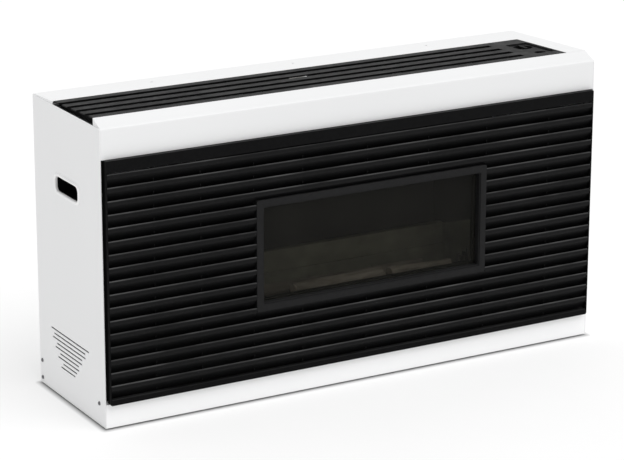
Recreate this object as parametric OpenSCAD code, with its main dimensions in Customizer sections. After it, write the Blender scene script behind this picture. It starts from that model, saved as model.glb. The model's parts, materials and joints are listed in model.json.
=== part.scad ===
// Wall mounted gas heater, open flued, natural convection, with a glazed log
// effect fire behind a black louvred front. Units: mm. +X is to the right of a
// person facing the heater, +Y goes back to the wall, +Z is up. The origin is
// under the middle of the heater, at the underside of its feet.

/* [Casing] */
// outside width across the two side panels
body_w = 1050; // [1030:5:1080]
// height of the side panels' top edge above the floor
body_h = 560; // [555:1:565]
// casing depth from the front sheet to the wall plane
body_d = 284; // [282:1:290]
// steel sheet thickness of the casing
sheet_t = 1.5; // [1.2:0.1:1.6]
// height of the glides under the casing
foot_h = 3; // [2.5:0.5:4]
// rise of the ridge of the top above the side panels
top_rise = 13.5; // [12.5:0.5:14]

/* [Front grille] */
// how far the louvre panel stands out of the front sheet
grille_proud = 10; // [9:0.5:11]
// underside of the louvre panel
grille_z0 = 48; // [46:1:50]
// upper edge of the louvre panel
grille_z1 = 503; // [501:1:504]
// distance from one louvre to the next
louvre_pitch = 24.6; // [24.3:0.1:24.6]
// upper edge of the highest louvre
louvre_top_z = 479; // [479:1:481]
// drop of one louvre from its nose to its rear edge
louvre_drop = 30.2; // [29.0:0.1:30.4]
// radius of the rolled nose of a louvre
nose_r = 2.4; // [2.0:0.1:2.5]

/* [Window] */
// left outside edge of the window frame
win_x0 = -220; // [-222:1:-218]
// right outside edge of the window frame
win_x1 = 276; // [274:1:278]
// lower outside edge of the window frame
win_z0 = 176; // [174:1:177]
// upper outside edge of the window frame
win_z1 = 388; // [386:1:388]
// width of the window frame's bars
win_bar = 15; // [13:0.5:16]
// thickness of the heat resistant glass
glass_t = 4; // [4:0.5:5]

/* [Top grille] */
// depth behind the front sheet where the top grille starts
top_d0 = 30; // [29.5:0.5:31]
// depth behind the front sheet where the top grille ends
top_d1 = 200; // [199:0.5:201]
// width of one slat
slat_w = 21.2; // [20.5:0.1:21.5]
// right end of the slots between the slats
slot_x1 = 398; // [394:1:402]

/* [Hand holes] */
// length of the hand hole in each side panel
hand_l = 96; // [90:1:100]
// height of the hand hole
hand_h = 28; // [26:1:30]
// height of its middle above the floor
hand_z = 416; // [410:1:420]

/* [Controls] */
// radius of the gas control knob
knob_r = 15; // [14:0.5:16]
// radius of the igniter button
button_r = 7.8; // [7:0.1:8]
// travel of the knob when it is pressed for the pilot flame
knob_travel = 4; // [3:0.5:4]
// travel of the igniter button
button_travel = 6; // [4:0.5:6]

/* [Gas and flue] */
// outside radius of the flue spigot
flue_r = 48; // [46:0.5:48]
// height of the flue's middle
flue_z = 480; // [479:0.5:480.5]
// radius of the threaded gas inlet
inlet_r = 10.5; // [10:0.5:11]
// length of the burner bar
burner_l = 400; // [380:5:410]

/* [Node] */
// which piece to draw

/* [Hidden] */
t = sheet_t;
hw = body_w / 2;
front_y = -(body_d + grille_proud) / 2 + grille_proud;
rear_y = front_y + body_d;
nose_y = front_y - grille_proud;
top_z = body_h + top_rise;
// the whole top falls in one plane from the ridge to the rear edge
rear_z = body_h + 1.6;
fall = (top_z - rear_z) / (body_d - top_d0);
trim_z0 = grille_z1 + 0.3;
in_w = hw - t - 0.2;                 // half width between the side sheets
win_xc = (win_x0 + win_x1) / 2;
top_depth = top_d1 - top_d0;
slot_w = (top_depth - 5 * slat_w) / 4;
bay_x0 = 426;  bay_x1 = 476;         // opening of the control bay
bay_d0 = 58;   bay_d1 = 161;
bay_floor = body_h - 15;           // bottom of the wells of the knob and the button
knob_x = 451;  knob_d = 136;  button_d = 76;
fire_x0 = win_x0 - 14; fire_x1 = win_x1 + 14;
fire_d0 = 16;  fire_d1 = 196;
fire_z0 = 118; fire_z1 = 424;
burner_d = 100;
burner_x0 = win_xc - burner_l / 2 - 8;
burner_x1 = burner_x0 + burner_l;
valve_x0 = 413; valve_x1 = 477; valve_d = knob_d;
valve_z0 = 250; valve_z1 = 330;
venturi_z = 137;
pilot_x = 267;  pilot_d = 57;
inlet_x = 452;  inlet_d = 240;
// the ribs behind the louvres, left to right
rib_x = [-423, -330, -222, -120, 17, 150, 279, 421];

white = [0.93, 0.93, 0.925];
black = [0.07, 0.07, 0.07];
zinc = [0.66, 0.67, 0.68];
dark_steel = [0.16, 0.16, 0.16];
alloy = [0.74, 0.75, 0.76];
brass_c = [0.80, 0.63, 0.28];
copper_c = [0.78, 0.46, 0.30];
stainless = [0.70, 0.69, 0.66];
ceramic_c = [0.87, 0.84, 0.78];
log_c = [0.40, 0.33, 0.26];
board_c = [0.45, 0.44, 0.38];
glass_c = [0.30, 0.30, 0.28, 0.45];
rope_c = [0.75, 0.73, 0.68];
rubber_c = [0.10, 0.10, 0.10];

// depth behind the front sheet turned into Y
function dp(d) = front_y + d;
// height of the top's plane at a depth
function tz(d) = top_z - (d - top_d0) * fall;
function dir(a, b) = (b - a) / norm(b - a);

module bx(x0, x1, d0, d1, z0, z1)
    translate([x0, dp(d0), z0]) cube([x1 - x0, d1 - d0, z1 - z0]);

// profile drawn in (depth, z), drawn out along X from x0 to x1
module along_x(x0, x1)
    translate([x0, 0, 0]) rotate([90, 0, 90]) linear_extrude(x1 - x0) children();

// profile drawn in (x, z), drawn out in depth from d0 to d1
module along_d(d0, d1)
    translate([0, dp(d1), 0]) rotate([90, 0, 0]) linear_extrude(d1 - d0) children();

module rod(a, b, r, n = 32) {
    v = b - a;
    translate(a) rotate([0, acos(v[2] / norm(v)), atan2(v[1], v[0])])
        cylinder(h = norm(v), r = r, $fn = n);
}

// quarter bend at corner c, coming in along u and going out along w
module bend(c, u, w, rb, r, n = 32) {
    o = c - u * rb + w * rb;
    k = cross(-w, u);
    multmatrix([[-w[0], u[0], k[0], o[0]],
                [-w[1], u[1], k[1], o[1]],
                [-w[2], u[2], k[2], o[2]]])
        rotate_extrude(angle = 90, $fn = n) translate([rb, 0]) circle(r, $fn = n);
}

// pipe through points whose turns are all right angles
module pipe(p, r, rb, n = 32)
    union() {
        last = len(p) - 1;
        for (i = [0:last - 1]) {
            d = dir(p[i], p[i + 1]);
            rod(p[i] + (i > 0 ? d * rb : [0, 0, 0]),
                p[i + 1] - (i < last - 1 ? d * rb : [0, 0, 0]), r, n);
        }
        for (i = [1:last - 1])
            bend(p[i], dir(p[i - 1], p[i]), dir(p[i], p[i + 1]), rb, r, n);
    }

// slab under the top's plane, from depth d0 to d1, its faces a and b below the plane
module under_top(x0, x1, d0, d1, a, b)
    along_x(x0, x1) polygon([[dp(d0), tz(d0) - a], [dp(d1), tz(d1) - a],
                             [dp(d1), tz(d1) - b], [dp(d0), tz(d0) - b]]);

module round_rect(w, h, r, n = 32)
    union() {
        square([w - 2 * r, h], center = true);
        square([w, h - 2 * r], center = true);
        for (sx = [-1, 1], sy = [-1, 1])
            translate([sx * (w / 2 - r), sy * (h / 2 - r)]) circle(r, $fn = n);
    }

// ---------------------------------------------------------------- casing

// slots of the side vent, from the top down: front end, rear end
vent = [[66, 230], [82, 217], [81, 224], [96, 206], [97, 213],
        [111, 193], [110, 202], [120, 180], [128, 189]];

// fixing screws of the side panels: depth, height
side_fix = [[25, 44], [274, 48], [274, 14]];

fold_r = 4;                            // fold of the top strip

module side_sheet() {
    // drawn for the left side
    difference() {
        union() {
            // outer sheet, its front upper corner rounded like the top strip
            along_x(-hw, -hw + t)
                polygon(concat([[dp(0), foot_h]],
                    [for (i = [0:8]) let (a = 180 - i * 90 / 8)
                        [dp(fold_r) + fold_r * cos(a), body_h - fold_r + fold_r * sin(a)]],
                    [[dp(body_d), body_h], [dp(body_d), foot_h]]));
            // folded edges
            bx(-hw, -hw + 16, 8.6, 8.6 + t, grille_z0 + 4, grille_z1 - 4);
            bx(-hw, -hw + 14, top_d1 + 2, body_d, body_h - t, body_h);
            bx(-hw, -hw + 14, 13, body_d, foot_h, foot_h + t);
            bx(-hw, -hw + 16, body_d - 2 * t - 7.5, body_d - t - 7.5, 60, body_h - t - 0.1);
        }
        // hand hole
        translate([-hw - 1, dp(142), hand_z]) rotate([90, 0, 90])
            linear_extrude(t + 2) round_rect(hand_l + 4, hand_h + 4, 11);
        // vent slots
        for (i = [0:8])
            translate([-hw - 1, dp((vent[i][0] + vent[i][1]) / 2), 127.5 - 8.3 * i])
                rotate([90, 0, 90]) linear_extrude(t + 2)
                    square([vent[i][1] - vent[i][0], 3.2], center = true);
        // fixing holes
        for (q = side_fix)
            translate([-hw - 1, dp(q[0]), q[1]]) rotate([0, 90, 0])
                cylinder(h = t + 2, r = 2.4, $fn = 24);
    }
}

module side_panel_left() color(white) side_sheet();
module side_panel_right() color(white) mirror([1, 0, 0]) side_sheet();

module hand_rim() {
    // drawn for the left side: a moulded collar with a rolled edge round the hand hole
    r = 3.25; rc = 9.6 + r;
    w = hand_l / 2 + r - rc; h = hand_h / 2 + r - rc;
    translate([-hw, dp(142), hand_z]) rotate([90, 0, 90]) {
        difference() {
            union() {
                for (q = [-1, 1]) {
                    rod([-w, q * (h + rc), 0.35], [w, q * (h + rc), 0.35], r);
                    rod([q * (w + rc), -h, 0.35], [q * (w + rc), h, 0.35], r);
                }
                for (q = [[1, 1, 0], [-1, 1, 90], [-1, -1, 180], [1, -1, 270]])
                    translate([q[0] * w, q[1] * h, 0.35]) rotate([0, 0, q[2]])
                        rotate_extrude(angle = 90, $fn = 48) translate([rc, 0]) circle(r, $fn = 32);
            }
            translate([-80, -40, 0]) cube([160, 80, 10]);
        }
        difference() {
            translate([0, 0, -0.6]) linear_extrude(3.6) round_rect(hand_l + 3.6, hand_h + 3.6, 11.4);
            translate([0, 0, -4]) linear_extrude(20) round_rect(hand_l + 0.6, hand_h + 0.6, 9.9);
        }
    }
}
module hand_rims() color(white) for (s = [0, 1]) mirror([s, 0, 0]) hand_rim();

// cup behind each hand hole, which keeps fingers off the hot inside
module hand_cups() color([0.04, 0.04, 0.04])
    for (s = [0, 1]) mirror([s, 0, 0]) translate([-hw, dp(142), hand_z]) rotate([90, 0, 90])
        difference() {
            union() {
                translate([0, 0, 3.2]) linear_extrude(33) round_rect(hand_l + 10, hand_h + 20, 12);
                translate([0, 0, t + 0.2]) linear_extrude(2.4) difference() {
                    round_rect(hand_l + 24, hand_h + 28, 16);
                    round_rect(hand_l + 4.4, hand_h + 4.4, 11.8);
                }
            }
            translate([0, 0, 3]) linear_extrude(31.2) round_rect(hand_l + 3, hand_h + 14, 8.5);
        }

// outline of the folded top strip: front face, rounded fold, rising top
// slope of the strip's upper facet, which runs on from the fold without a kink
cpd = top_d0 - 0.3 - fold_r;
cpz = top_z - 0.05 - (body_h - fold_r + 0.5);
slope = atan2(cpz, cpd) + acos(fold_r / norm([cpd, cpz])) - 90;
function trim_arc(r, n = 6) =
    [for (i = [0:n]) let (a = 180 - i * (90 - slope) / n)
        [dp(fold_r) + r * cos(a), body_h - fold_r + 0.5 + r * sin(a)]];
module trim_solid(k) {
    // k is how far inside the outer face the outline lies
    polygon(concat([[dp(k), trim_z0 + k]], trim_arc(fold_r - k),
        [[dp(top_d0 - 0.3), top_z - k / cos(slope) - 0.05], [dp(top_d0 - 0.3), trim_z0 + k]]));
}
module top_trim() color(white) {
    difference() {
        union() {
            along_x(-in_w, in_w) trim_solid(0);
            // ledge that carries the front edge of the top grille
            bx(-in_w + 14, in_w - 14, top_d0 - 1, top_d0 + 3.5, body_h - 6.6, body_h - 5.1);
        }
        along_x(-in_w + t, in_w - t)
            union() {
                difference() {
                    trim_solid(t);
                    translate([dp(top_d0 - 0.3 - t), body_h - 6.6]) square([10, 100]);
                }
                translate([dp(top_d0 - 2), trim_z0 - 1]) square([1.8, body_h - trim_z0 - 5.6]);
                translate([dp(16), trim_z0 - 1]) square([top_d0 - 16, 6]);
            }
        // ends are open below the side panels' edge
        for (s = [-1, 1]) translate([s * in_w, 0, 0])
            translate([-2 * t, dp(18), trim_z0 - 1]) cube([4 * t, top_d0, body_h - trim_z0 - 14]);
    }
}

module base_plinth() color(white) {
    difference() {
        union() {
            bx(-in_w, in_w, 0, t, foot_h, grille_z0 - 0.3);
            bx(-in_w, in_w, 0, 22, grille_z0 - 0.3 - t, grille_z0 - 0.3);
            bx(-in_w, in_w, 0, 12, foot_h, foot_h + t);
            for (s = [-1, 1]) translate([s * (in_w - t / 2) - t / 2, dp(0), foot_h])
                cube([t, 1.6, grille_z0 - 0.3 - foot_h]);
        }
        for (x = [-450, -150, 150, 450]) translate([x, dp(17), grille_z0 - 10])
            cylinder(h = 12, r = 2.2, $fn = 24);
    }
}

module base_pan() color(zinc) {
    difference() {
        union() {
            bx(-hw + 16, hw - 16, 13, body_d - 8.5, foot_h, foot_h + t);
            bx(-hw + 16, hw - 16, 22.5, 22.5 + t, foot_h, 40);
            bx(-hw + 16, -hw + 16 + t, 22.5, body_d - 10, foot_h, 34);
            bx(hw - 16 - t, hw - 16, 22.5, body_d - 10, foot_h, 34);
        }
        // air inlet slots
        for (i = [-4:4]) if (i != 4) translate([i * 95 + 20, dp(150), 0])
            linear_extrude(20) square([70, 14], center = true);
        for (i = [-4:4]) if (i != 4) translate([i * 95 + 20, dp(185), 0])
            linear_extrude(20) square([70, 14], center = true);
        // gas inlet hole
        translate([inlet_x, dp(inlet_d), 0]) cylinder(h = 20, r = 20, $fn = 48);
    }
}

module back_panel() color(zinc) {
    difference() {
        union() {
            bx(-hw + 2, hw - 2, body_d - 7.5, body_d - 7.5 + t, foot_h + 2, body_h - 2);
            for (x = [-360, 400]) bx(x - 20, x + 20, body_d - 11.5, body_d - 7.4, 60, 520);
            // hook that hangs on the wall bracket
            bx(-300, 300, body_d - 6.1, body_d - 2.4, 384, 385.5);
            bx(-300, 300, body_d - 3.9, body_d - 2.4, 374, 385.5);
        }
        for (x = [-360, 400]) bx(x - 18.5, x + 18.5, body_d - 10, body_d - 5, 61.5, 518.5);
        translate([win_xc, dp(body_d - 12), flue_z]) rotate([-90, 0, 0])
            cylinder(h = 12, r = flue_r + 3, $fn = 64);
        for (x = [-480, 480], z = [120, 480]) translate([x, dp(body_d - 12), z]) rotate([-90, 0, 0])
            cylinder(h = 12, r = 4, $fn = 32);
    }
}

module top_plate() color(white) {
    // white plate behind the top grille and at its right end, in the plane of the top
    g = 0.8;
    difference() {
        union() {
            under_top(-in_w, in_w, top_d1 + g, body_d, 0, t);
            under_top(tgx1 + g, in_w, top_d0 + 0.3, body_d, 0, t);
            // folds along the top grille, with the ledge that carries its rear edge
            bx(-in_w + 14, in_w - 14, top_d1 + g, top_d1 + g + t, body_h - 6.6, tz(top_d1 + 3) - 0.5);
            bx(-in_w + 14, in_w - 14, top_d1 - 3.2, top_d1 + g + t, body_h - 6.6, body_h - 5.1);
            under_top(tgx1 + g, tgx1 + g + t, top_d0 + 6, top_d1 + 2, 0.3, 18);
            // ends, which stand on the side panels' folded edges
            under_top(in_w - t, in_w, top_d0 + 0.3, top_d1 + 1.6, 0.3, 24);
            for (s = [-1, 1]) translate([s * (in_w - t / 2), 0, 0])
                along_x(-t / 2, t / 2) polygon([[dp(top_d1 + g), body_h + 0.1], [dp(body_d), body_h + 0.1],
                    [dp(body_d), tz(body_d) - 0.3], [dp(top_d1 + g), tz(top_d1 + g) - 0.3]]);
            // folded rear edge
            bx(-hw + 17, hw - 17, body_d - t, body_d, body_h - 14, tz(body_d) - 0.4);
        }
        for (x = [-300, 0, 300]) translate([x, dp(250), body_h - 3])
            cylinder(h = 10, r = 2.2, $fn = 24);
    }
}

module wall_bracket() color(zinc) {
    // screwed to the wall; the casing hangs on its upper lip
    difference() {
        union() {
            bx(-330, 330, body_d - 1.6, body_d, 296, 372);
            bx(-330, 330, body_d - 5.8, body_d, 370.4, 372);
            bx(-330, 330, body_d - 5.8, body_d - 4.3, 370.4, 383.9);
        }
        for (x = [-250, 250], z = [314, 350])
            translate([x, dp(body_d - 7), z]) rotate([-90, 0, 0]) cylinder(h = 8, r = 3.5, $fn = 32);
    }
}

module feet() color(rubber_c)
    for (x = [-490, 490], d = [40, 245]) translate([x, dp(d), 0]) {
        difference() {
            cylinder(h = foot_h, r = 14, $fn = 48);
            translate([0, 0, -1]) cylinder(h = 2.6, r = 5, $fn = 32);
        }
    }

module panel_screw() {
    // pan head screw, its head on -X, drawn with the sheet face at x = 0
    rotate([0, -90, 0]) {
        difference() {
            union() {
                cylinder(h = 1.1, r = 3.8, $fn = 32);
                cylinder(h = 2.0, r = 2.9, $fn = 32);
            }
            for (a = [0, 90]) rotate([0, 0, a]) translate([-1.9, -0.45, 1]) cube([3.8, 0.9, 2]);
        }
        translate([0, 0, -7]) cylinder(h = 7.05, r = 2.1, $fn = 24);
    }
}
module side_screws() color(dark_steel)
    for (s = [0, 1]) mirror([s, 0, 0])
        for (q = side_fix)
            translate([-hw, dp(q[0]), q[1]]) panel_screw();

// ---------------------------------------------------------------- front

module grille_outline(w0, w1, z0, z1, r)
    translate([(w0 + w1) / 2, (z0 + z1) / 2]) round_rect(w1 - w0, z1 - z0, r, 40);

gx = hw - 6;                           // half width of the louvre panel
module grille_frame() color(black) {
    // outer rim of the louvre panel, with its side returns
    difference() {
        along_d(-grille_proud, t + 0.1) union() {
            grille_outline(-gx, gx, grille_z0, grille_z1, 4);
            grille_outline(-gx, gx, grille_z1 - 60, grille_z1, 2);
        }
        along_d(-grille_proud - 1, t + 1) grille_outline(-gx + 2, gx - 2, grille_z0 + 9, louvre_top_z + 2.2, 3);
    }
    // nose and shelf of the bottom rail
    along_x(-gx + 1.9, gx - 1.9)
        polygon([[nose_y + 0.1, grille_z0 + 8.5], [nose_y + 0.3, grille_z0 + 9.9], [nose_y + 1.2, grille_z0 + 10.9],
                 [nose_y + 9.5, grille_z0 + 10.9], [nose_y + 9.5, grille_z0 + 9.9], [nose_y + 6, grille_z0 + 8.5]]);
}

// one louvre: a rolled nose, an upright lip, and a web that slopes back and down behind the next nose
module blade_profile() {
    h = louvre_drop;
    translate([nose_y + nose_r, -nose_r]) circle(nose_r, $fn = 40);
    polygon([[nose_y, -nose_r], [nose_y + 0.25, -6.5], [nose_y + 1.1, -9.6], [nose_y + 2.6, -11.6],
             [nose_y + 15.0, -h], [nose_y + 16.4, -h + 1.2],
             [nose_y + 4.1, -10.4], [nose_y + 2.35, -8.9], [nose_y + 1.55, -6.4], [nose_y + 1.4, -nose_r]]);
}
module louvre(i, x0, x1)
    translate([0, 0, louvre_top_z - i * louvre_pitch]) along_x(x0, x1) blade_profile();
rib_set = 8;                           // ribs start this far behind the noses
// a bank of louvres, rows a to b, with the ribs that hold them
module bank(a, b, x0, x1, ztop, zbot) {
    for (i = [a:b]) louvre(i, x0, x1);
    for (x = rib_x) if (x > x0 + 8 && x < x1 - 8)
        bx(x - 0.9, x + 0.9, -grille_proud + rib_set, 8, zbot, ztop);
}
row_hi = 3;
row_lo = 13;
function row_z(i) = louvre_top_z - i * louvre_pitch;
lx = gx - 2.1;
module louvres_upper() color(black)
    difference() {
        bank(0, row_hi, -lx, lx, louvre_top_z + 2.1, row_z(row_hi) - louvre_drop);
        // the window frame's upper bar
        bx(win_x0 - 0.3, win_x1 + 0.3, -20, 20, win_z0, win_z1 + 0.3);
    }
module louvres_left() color(black)
    bank(row_hi + 1, row_lo - 1, -lx, win_x0 - 0.3, row_z(row_hi + 1) - 8.5, row_z(row_lo - 1) - louvre_drop);
module louvres_right() color(black)
    bank(row_hi + 1, row_lo - 1, win_x1 + 0.3, lx, row_z(row_hi + 1) - 8.5, row_z(row_lo - 1) - louvre_drop);
module louvres_lower() color(black) {
    bank(row_lo, 16, -lx, lx, row_z(row_lo) - 8.5, grille_z0 + 11.2);
    // the row that runs on under the window frame
    difference() {
        union() {
            louvre(row_lo - 1, win_x0, win_x1);
            for (x = rib_x) if (x > win_x0 && x < win_x1)
                bx(x - 0.9, x + 0.9, -grille_proud + rib_set, 8, row_z(row_lo) - 12, win_z0 - 0.3);
        }
        bx(win_x0 - 1, win_x1 + 1, -20, 20, win_z0 - 0.3, win_z0 + 40);
    }
}

module window_frame() color([0.13, 0.13, 0.13]) {
    w = win_x1 - win_x0; h = win_z1 - win_z0; zc = (win_z0 + win_z1) / 2;
    difference() {
        union() {
            translate([win_xc, 0, zc]) along_d(-grille_proud - 0, 8) round_rect(w, h, 4);
        }
        translate([win_xc, 0, zc]) along_d(-30, 30) round_rect(w - 2 * win_bar, h - 2 * win_bar, 2.5);
        // stepped inner edge
        translate([win_xc, 0, zc]) along_d(-30, -grille_proud + 1.6)
            round_rect(w - 2 * win_bar + 5, h - 2 * win_bar + 5, 3.5);
        // seat of the glass
        translate([win_xc, 0, zc]) along_d(3, 30) round_rect(w - 2 * win_bar + 17, h - 2 * win_bar + 17, 3);
    }
}
module window_glass() color(glass_c) {
    w = win_x1 - win_x0 - 2 * win_bar + 14; h = win_z1 - win_z0 - 2 * win_bar + 14;
    translate([win_xc, 0, (win_z0 + win_z1) / 2]) along_d(3.2, 3.2 + glass_t) round_rect(w, h, 3);
}
module glass_gasket() color(rope_c) {
    w = win_x1 - win_x0 - 2 * win_bar + 14; h = win_z1 - win_z0 - 2 * win_bar + 14;
    x0 = win_xc - w / 2 + 6; x1 = win_xc + w / 2 - 6;
    z0 = (win_z0 + win_z1) / 2 - h / 2 + 6; z1 = z0 + h - 12;
    d = 3.2 + glass_t + 3.1;
    pipe([[x0 + 40, dp(d), z0], [x0, dp(d), z0], [x0, dp(d), z1], [x1, dp(d), z1],
          [x1, dp(d), z0], [x0 + 41, dp(d), z0]], 3, 6, 24);
}
// ---------------------------------------------------------------- top

tgx0 = -hw + 4;                        // left end of the top grille
tgx1 = 480;                            // right end
slat_t = 3;
module top_grille() color([0.11, 0.11, 0.115]) {
    z0 = body_h - 5;
    difference() {
        union() {
            along_x(tgx0 + 10, tgx1) polygon([[dp(top_d0), tz(top_d0)], [dp(top_d1), tz(top_d1)],
                                              [dp(top_d1), z0], [dp(top_d0), z0]]);
            // the plate reaches past the set-back left end wall
            under_top(tgx0, tgx0 + 12, top_d0, top_d1, 0, 2.4);
        }
        // hollow underside
        along_x(tgx0 + 13, slot_x1 + 6) grille_hollow(top_d0 + 3, top_d1 - 3);
        along_x(slot_x1 + 8, tgx1 - 3) grille_hollow(top_d0 + 3, bay_d0 - 4);
        along_x(slot_x1 + 8, tgx1 - 3) grille_hollow(bay_d1 + 4, top_d1 - 3);
        // slots
        for (i = [1:4]) {
            d = top_d0 + i * slat_w + (i - 1) * slot_w;
            bx(tgx0 + 15, slot_x1, d, d + slot_w, body_h - 20, top_z + 1);
            // open over the left end wall, which carries the slats' ends
            under_top(tgx0 - 1, tgx0 + 15.5, d, d + slot_w, -1, slat_t);
        }
        // control bay opening
        translate([(bay_x0 + bay_x1) / 2, dp((bay_d0 + bay_d1) / 2), body_h - 20])
            linear_extrude(50) round_rect(bay_x1 - bay_x0, bay_d1 - bay_d0, 5);
    }
    // cross ribs under the slats
    for (x = [-350, -180, -10, 160, 320])
        along_x(x - 1.5, x + 1.5) polygon([[dp(top_d0 + 2), tz(top_d0 + 2) - slat_t + 0.1],
            [dp(top_d1 - 2), tz(top_d1 - 2) - slat_t + 0.1], [dp(top_d1 - 2), z0 + 0.2], [dp(top_d0 + 2), z0 + 0.2]]);
}
module grille_hollow(d0, d1)
    polygon([[dp(d0), tz(d0) - slat_t], [dp(d1), tz(d1) - slat_t], [dp(d1), body_h - 20], [dp(d0), body_h - 20]]);

tray_below = 3;                        // floor of the tray under the top's plane
module control_bay() color([0.08, 0.08, 0.085]) {
    // shallow tray let into the top grille, with a well for the knob and one for the button
    xc = (bay_x0 + bay_x1) / 2; dc = (bay_d0 + bay_d1) / 2;
    w = bay_x1 - bay_x0; d = bay_d1 - bay_d0;
    kz = tz(knob_d) - tray_below; bz = tz(button_d) - tray_below;
    difference() {
        union() {
            intersection() {
                translate([xc, dp(dc), body_h - 10]) linear_extrude(40) round_rect(w - 0.6, d - 0.6, 4.7);
                under_top(bay_x0, bay_x1, bay_d0, bay_d1, 1, tray_below + 2);
            }
            translate([knob_x, dp(knob_d), bay_floor - 2]) cylinder(h = kz - bay_floor + 1, r = 21, $fn = 64);
            translate([knob_x, dp(button_d), bay_floor - 2]) cylinder(h = bz - bay_floor + 1, r = 13.5, $fn = 64);
        }
        intersection() {
            translate([xc, dp(dc), body_h - 10]) linear_extrude(40) round_rect(w - 4.6, d - 4.6, 3);
            under_top(bay_x0, bay_x1, bay_d0, bay_d1, -10, tray_below);
        }
        // well of the knob, with a raised ring under it
        difference() {
            translate([knob_x, dp(knob_d), bay_floor]) cylinder(h = 40, r = 19, $fn = 64);
            translate([knob_x, dp(knob_d), bay_floor - 1]) cylinder(h = 2.2, r = 14.6, $fn = 64);
        }
        translate([knob_x, dp(button_d), bay_floor]) cylinder(h = 40, r = 11.5, $fn = 64);
        translate([knob_x, dp(knob_d), bay_floor - 10]) cylinder(h = 20, r = 3.4, $fn = 32);
        translate([knob_x, dp(button_d), bay_floor - 10]) cylinder(h = 20, r = 9, $fn = 48);
        // marks round the knob's well
        for (a = [0, 90, 180, 270]) rotate_about(knob_x, dp(knob_d), a)
            translate([knob_x - 0.5, dp(knob_d) - 22.6, tz(knob_d - 21.4 * cos(a)) - tray_below - 0.5]) cube([1, 2.4, 2]);
    }
}

module control_knob() color([0.05, 0.05, 0.05]) {
    z0 = bay_floor + 1.2 + knob_travel + 0.4;
    difference() {
        union() {
            translate([knob_x, dp(knob_d), z0]) cylinder(h = 4.5, r = knob_r, $fn = 64);
            translate([knob_x, dp(knob_d), z0]) cylinder(h = 8, r = knob_r - 1.2, $fn = 64);
            intersection() {
                translate([knob_x, dp(knob_d), z0]) cylinder(h = 16.5, r = knob_r - 1.2, $fn = 64);
                translate([knob_x - 3.4, dp(knob_d) - 20, z0]) cube([6.8, 40, 16.5]);
            }
        }
        translate([knob_x, dp(knob_d), z0 - 1]) cylinder(h = 12, r = 3.05, $fn = 32);
        // flutes round the skirt
        for (a = [0:20:340]) rotate_about(knob_x, dp(knob_d), a)
            translate([knob_x + knob_r + 0.35, dp(knob_d), z0 - 1]) cylinder(h = 7, r = 0.9, $fn = 16);
    }
}
module rotate_about(x, y, a) translate([x, y, 0]) rotate([0, 0, a]) translate([-x, -y, 0]) children();
module knob_pointer() color([0.92, 0.92, 0.9]) {
    z0 = bay_floor + 1.2 + knob_travel + 0.4;
    translate([knob_x - 0.6, dp(knob_d) - knob_r + 3, z0 + 16.5]) cube([1.2, 9, 0.4]);
}
spindle_z0 = 304.1;
module knob_spindle() color(stainless) {
    z1 = bay_floor + 1.2 + knob_travel + 0.4 + 10.5;
    difference() {
        translate([knob_x, dp(knob_d), spindle_z0]) cylinder(h = z1 - spindle_z0, r = 3, $fn = 32);
        // flat that drives the knob
        translate([knob_x - 5, dp(knob_d) + 1.8, z1 - 12]) cube([10, 5, 20]);
    }
    // collar above the valve's bush
    translate([knob_x, dp(knob_d), valve_z1 + 22]) cylinder(h = 5, r = 5.5, $fn = 32);
}
module valve_plunger() color(brass_c) {
    translate([knob_x, dp(knob_d), 262]) cylinder(h = 42, r = 2.5, $fn = 32);
}

module igniter_button() color([0.05, 0.05, 0.05]) {
    z1 = body_h + 5;
    difference() {
        union() {
            translate([knob_x, dp(button_d), z1 - 8]) cylinder(h = 7.2, r = button_r, $fn = 48);
            translate([knob_x, dp(button_d), z1 - 8]) cylinder(h = 8, r = button_r - 0.8, $fn = 48);
        }
        translate([knob_x, dp(button_d), z1 + 5.0]) scale(1) sphere(r = 6, $fn = 48);
    }
    translate([knob_x, dp(button_d), z1 - 30]) cylinder(h = 22.05, r = 4, $fn = 32);
}
module igniter_bezel() color([0.20, 0.20, 0.20]) {
    translate([knob_x, dp(button_d), bay_floor + 0.05])
        difference() {
            union() {
                cylinder(h = 2.2, r = 11.2, $fn = 48);
                cylinder(h = 3.2, r = 10.6, $fn = 48);
            }
            translate([0, 0, -1]) cylinder(h = 8, r = 8.75, $fn = 48);
        }
}
module igniter_body() color([0.16, 0.16, 0.17]) {
    difference() {
        union() {
            translate([knob_x, dp(button_d), 492]) cylinder(h = bay_floor - 2.2 - 492, r = 10.5, $fn = 48);
            translate([knob_x, dp(button_d), 540]) cylinder(h = 9.6, r = 8.65, $fn = 48);
            translate([knob_x, dp(button_d), 480]) cylinder(h = 13, r = 4, $fn = 32);
        }
        translate([knob_x, dp(button_d), 526]) cylinder(h = 40, r = 4.06, $fn = 32);
    }
}

// ---------------------------------------------------------------- gas train

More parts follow.
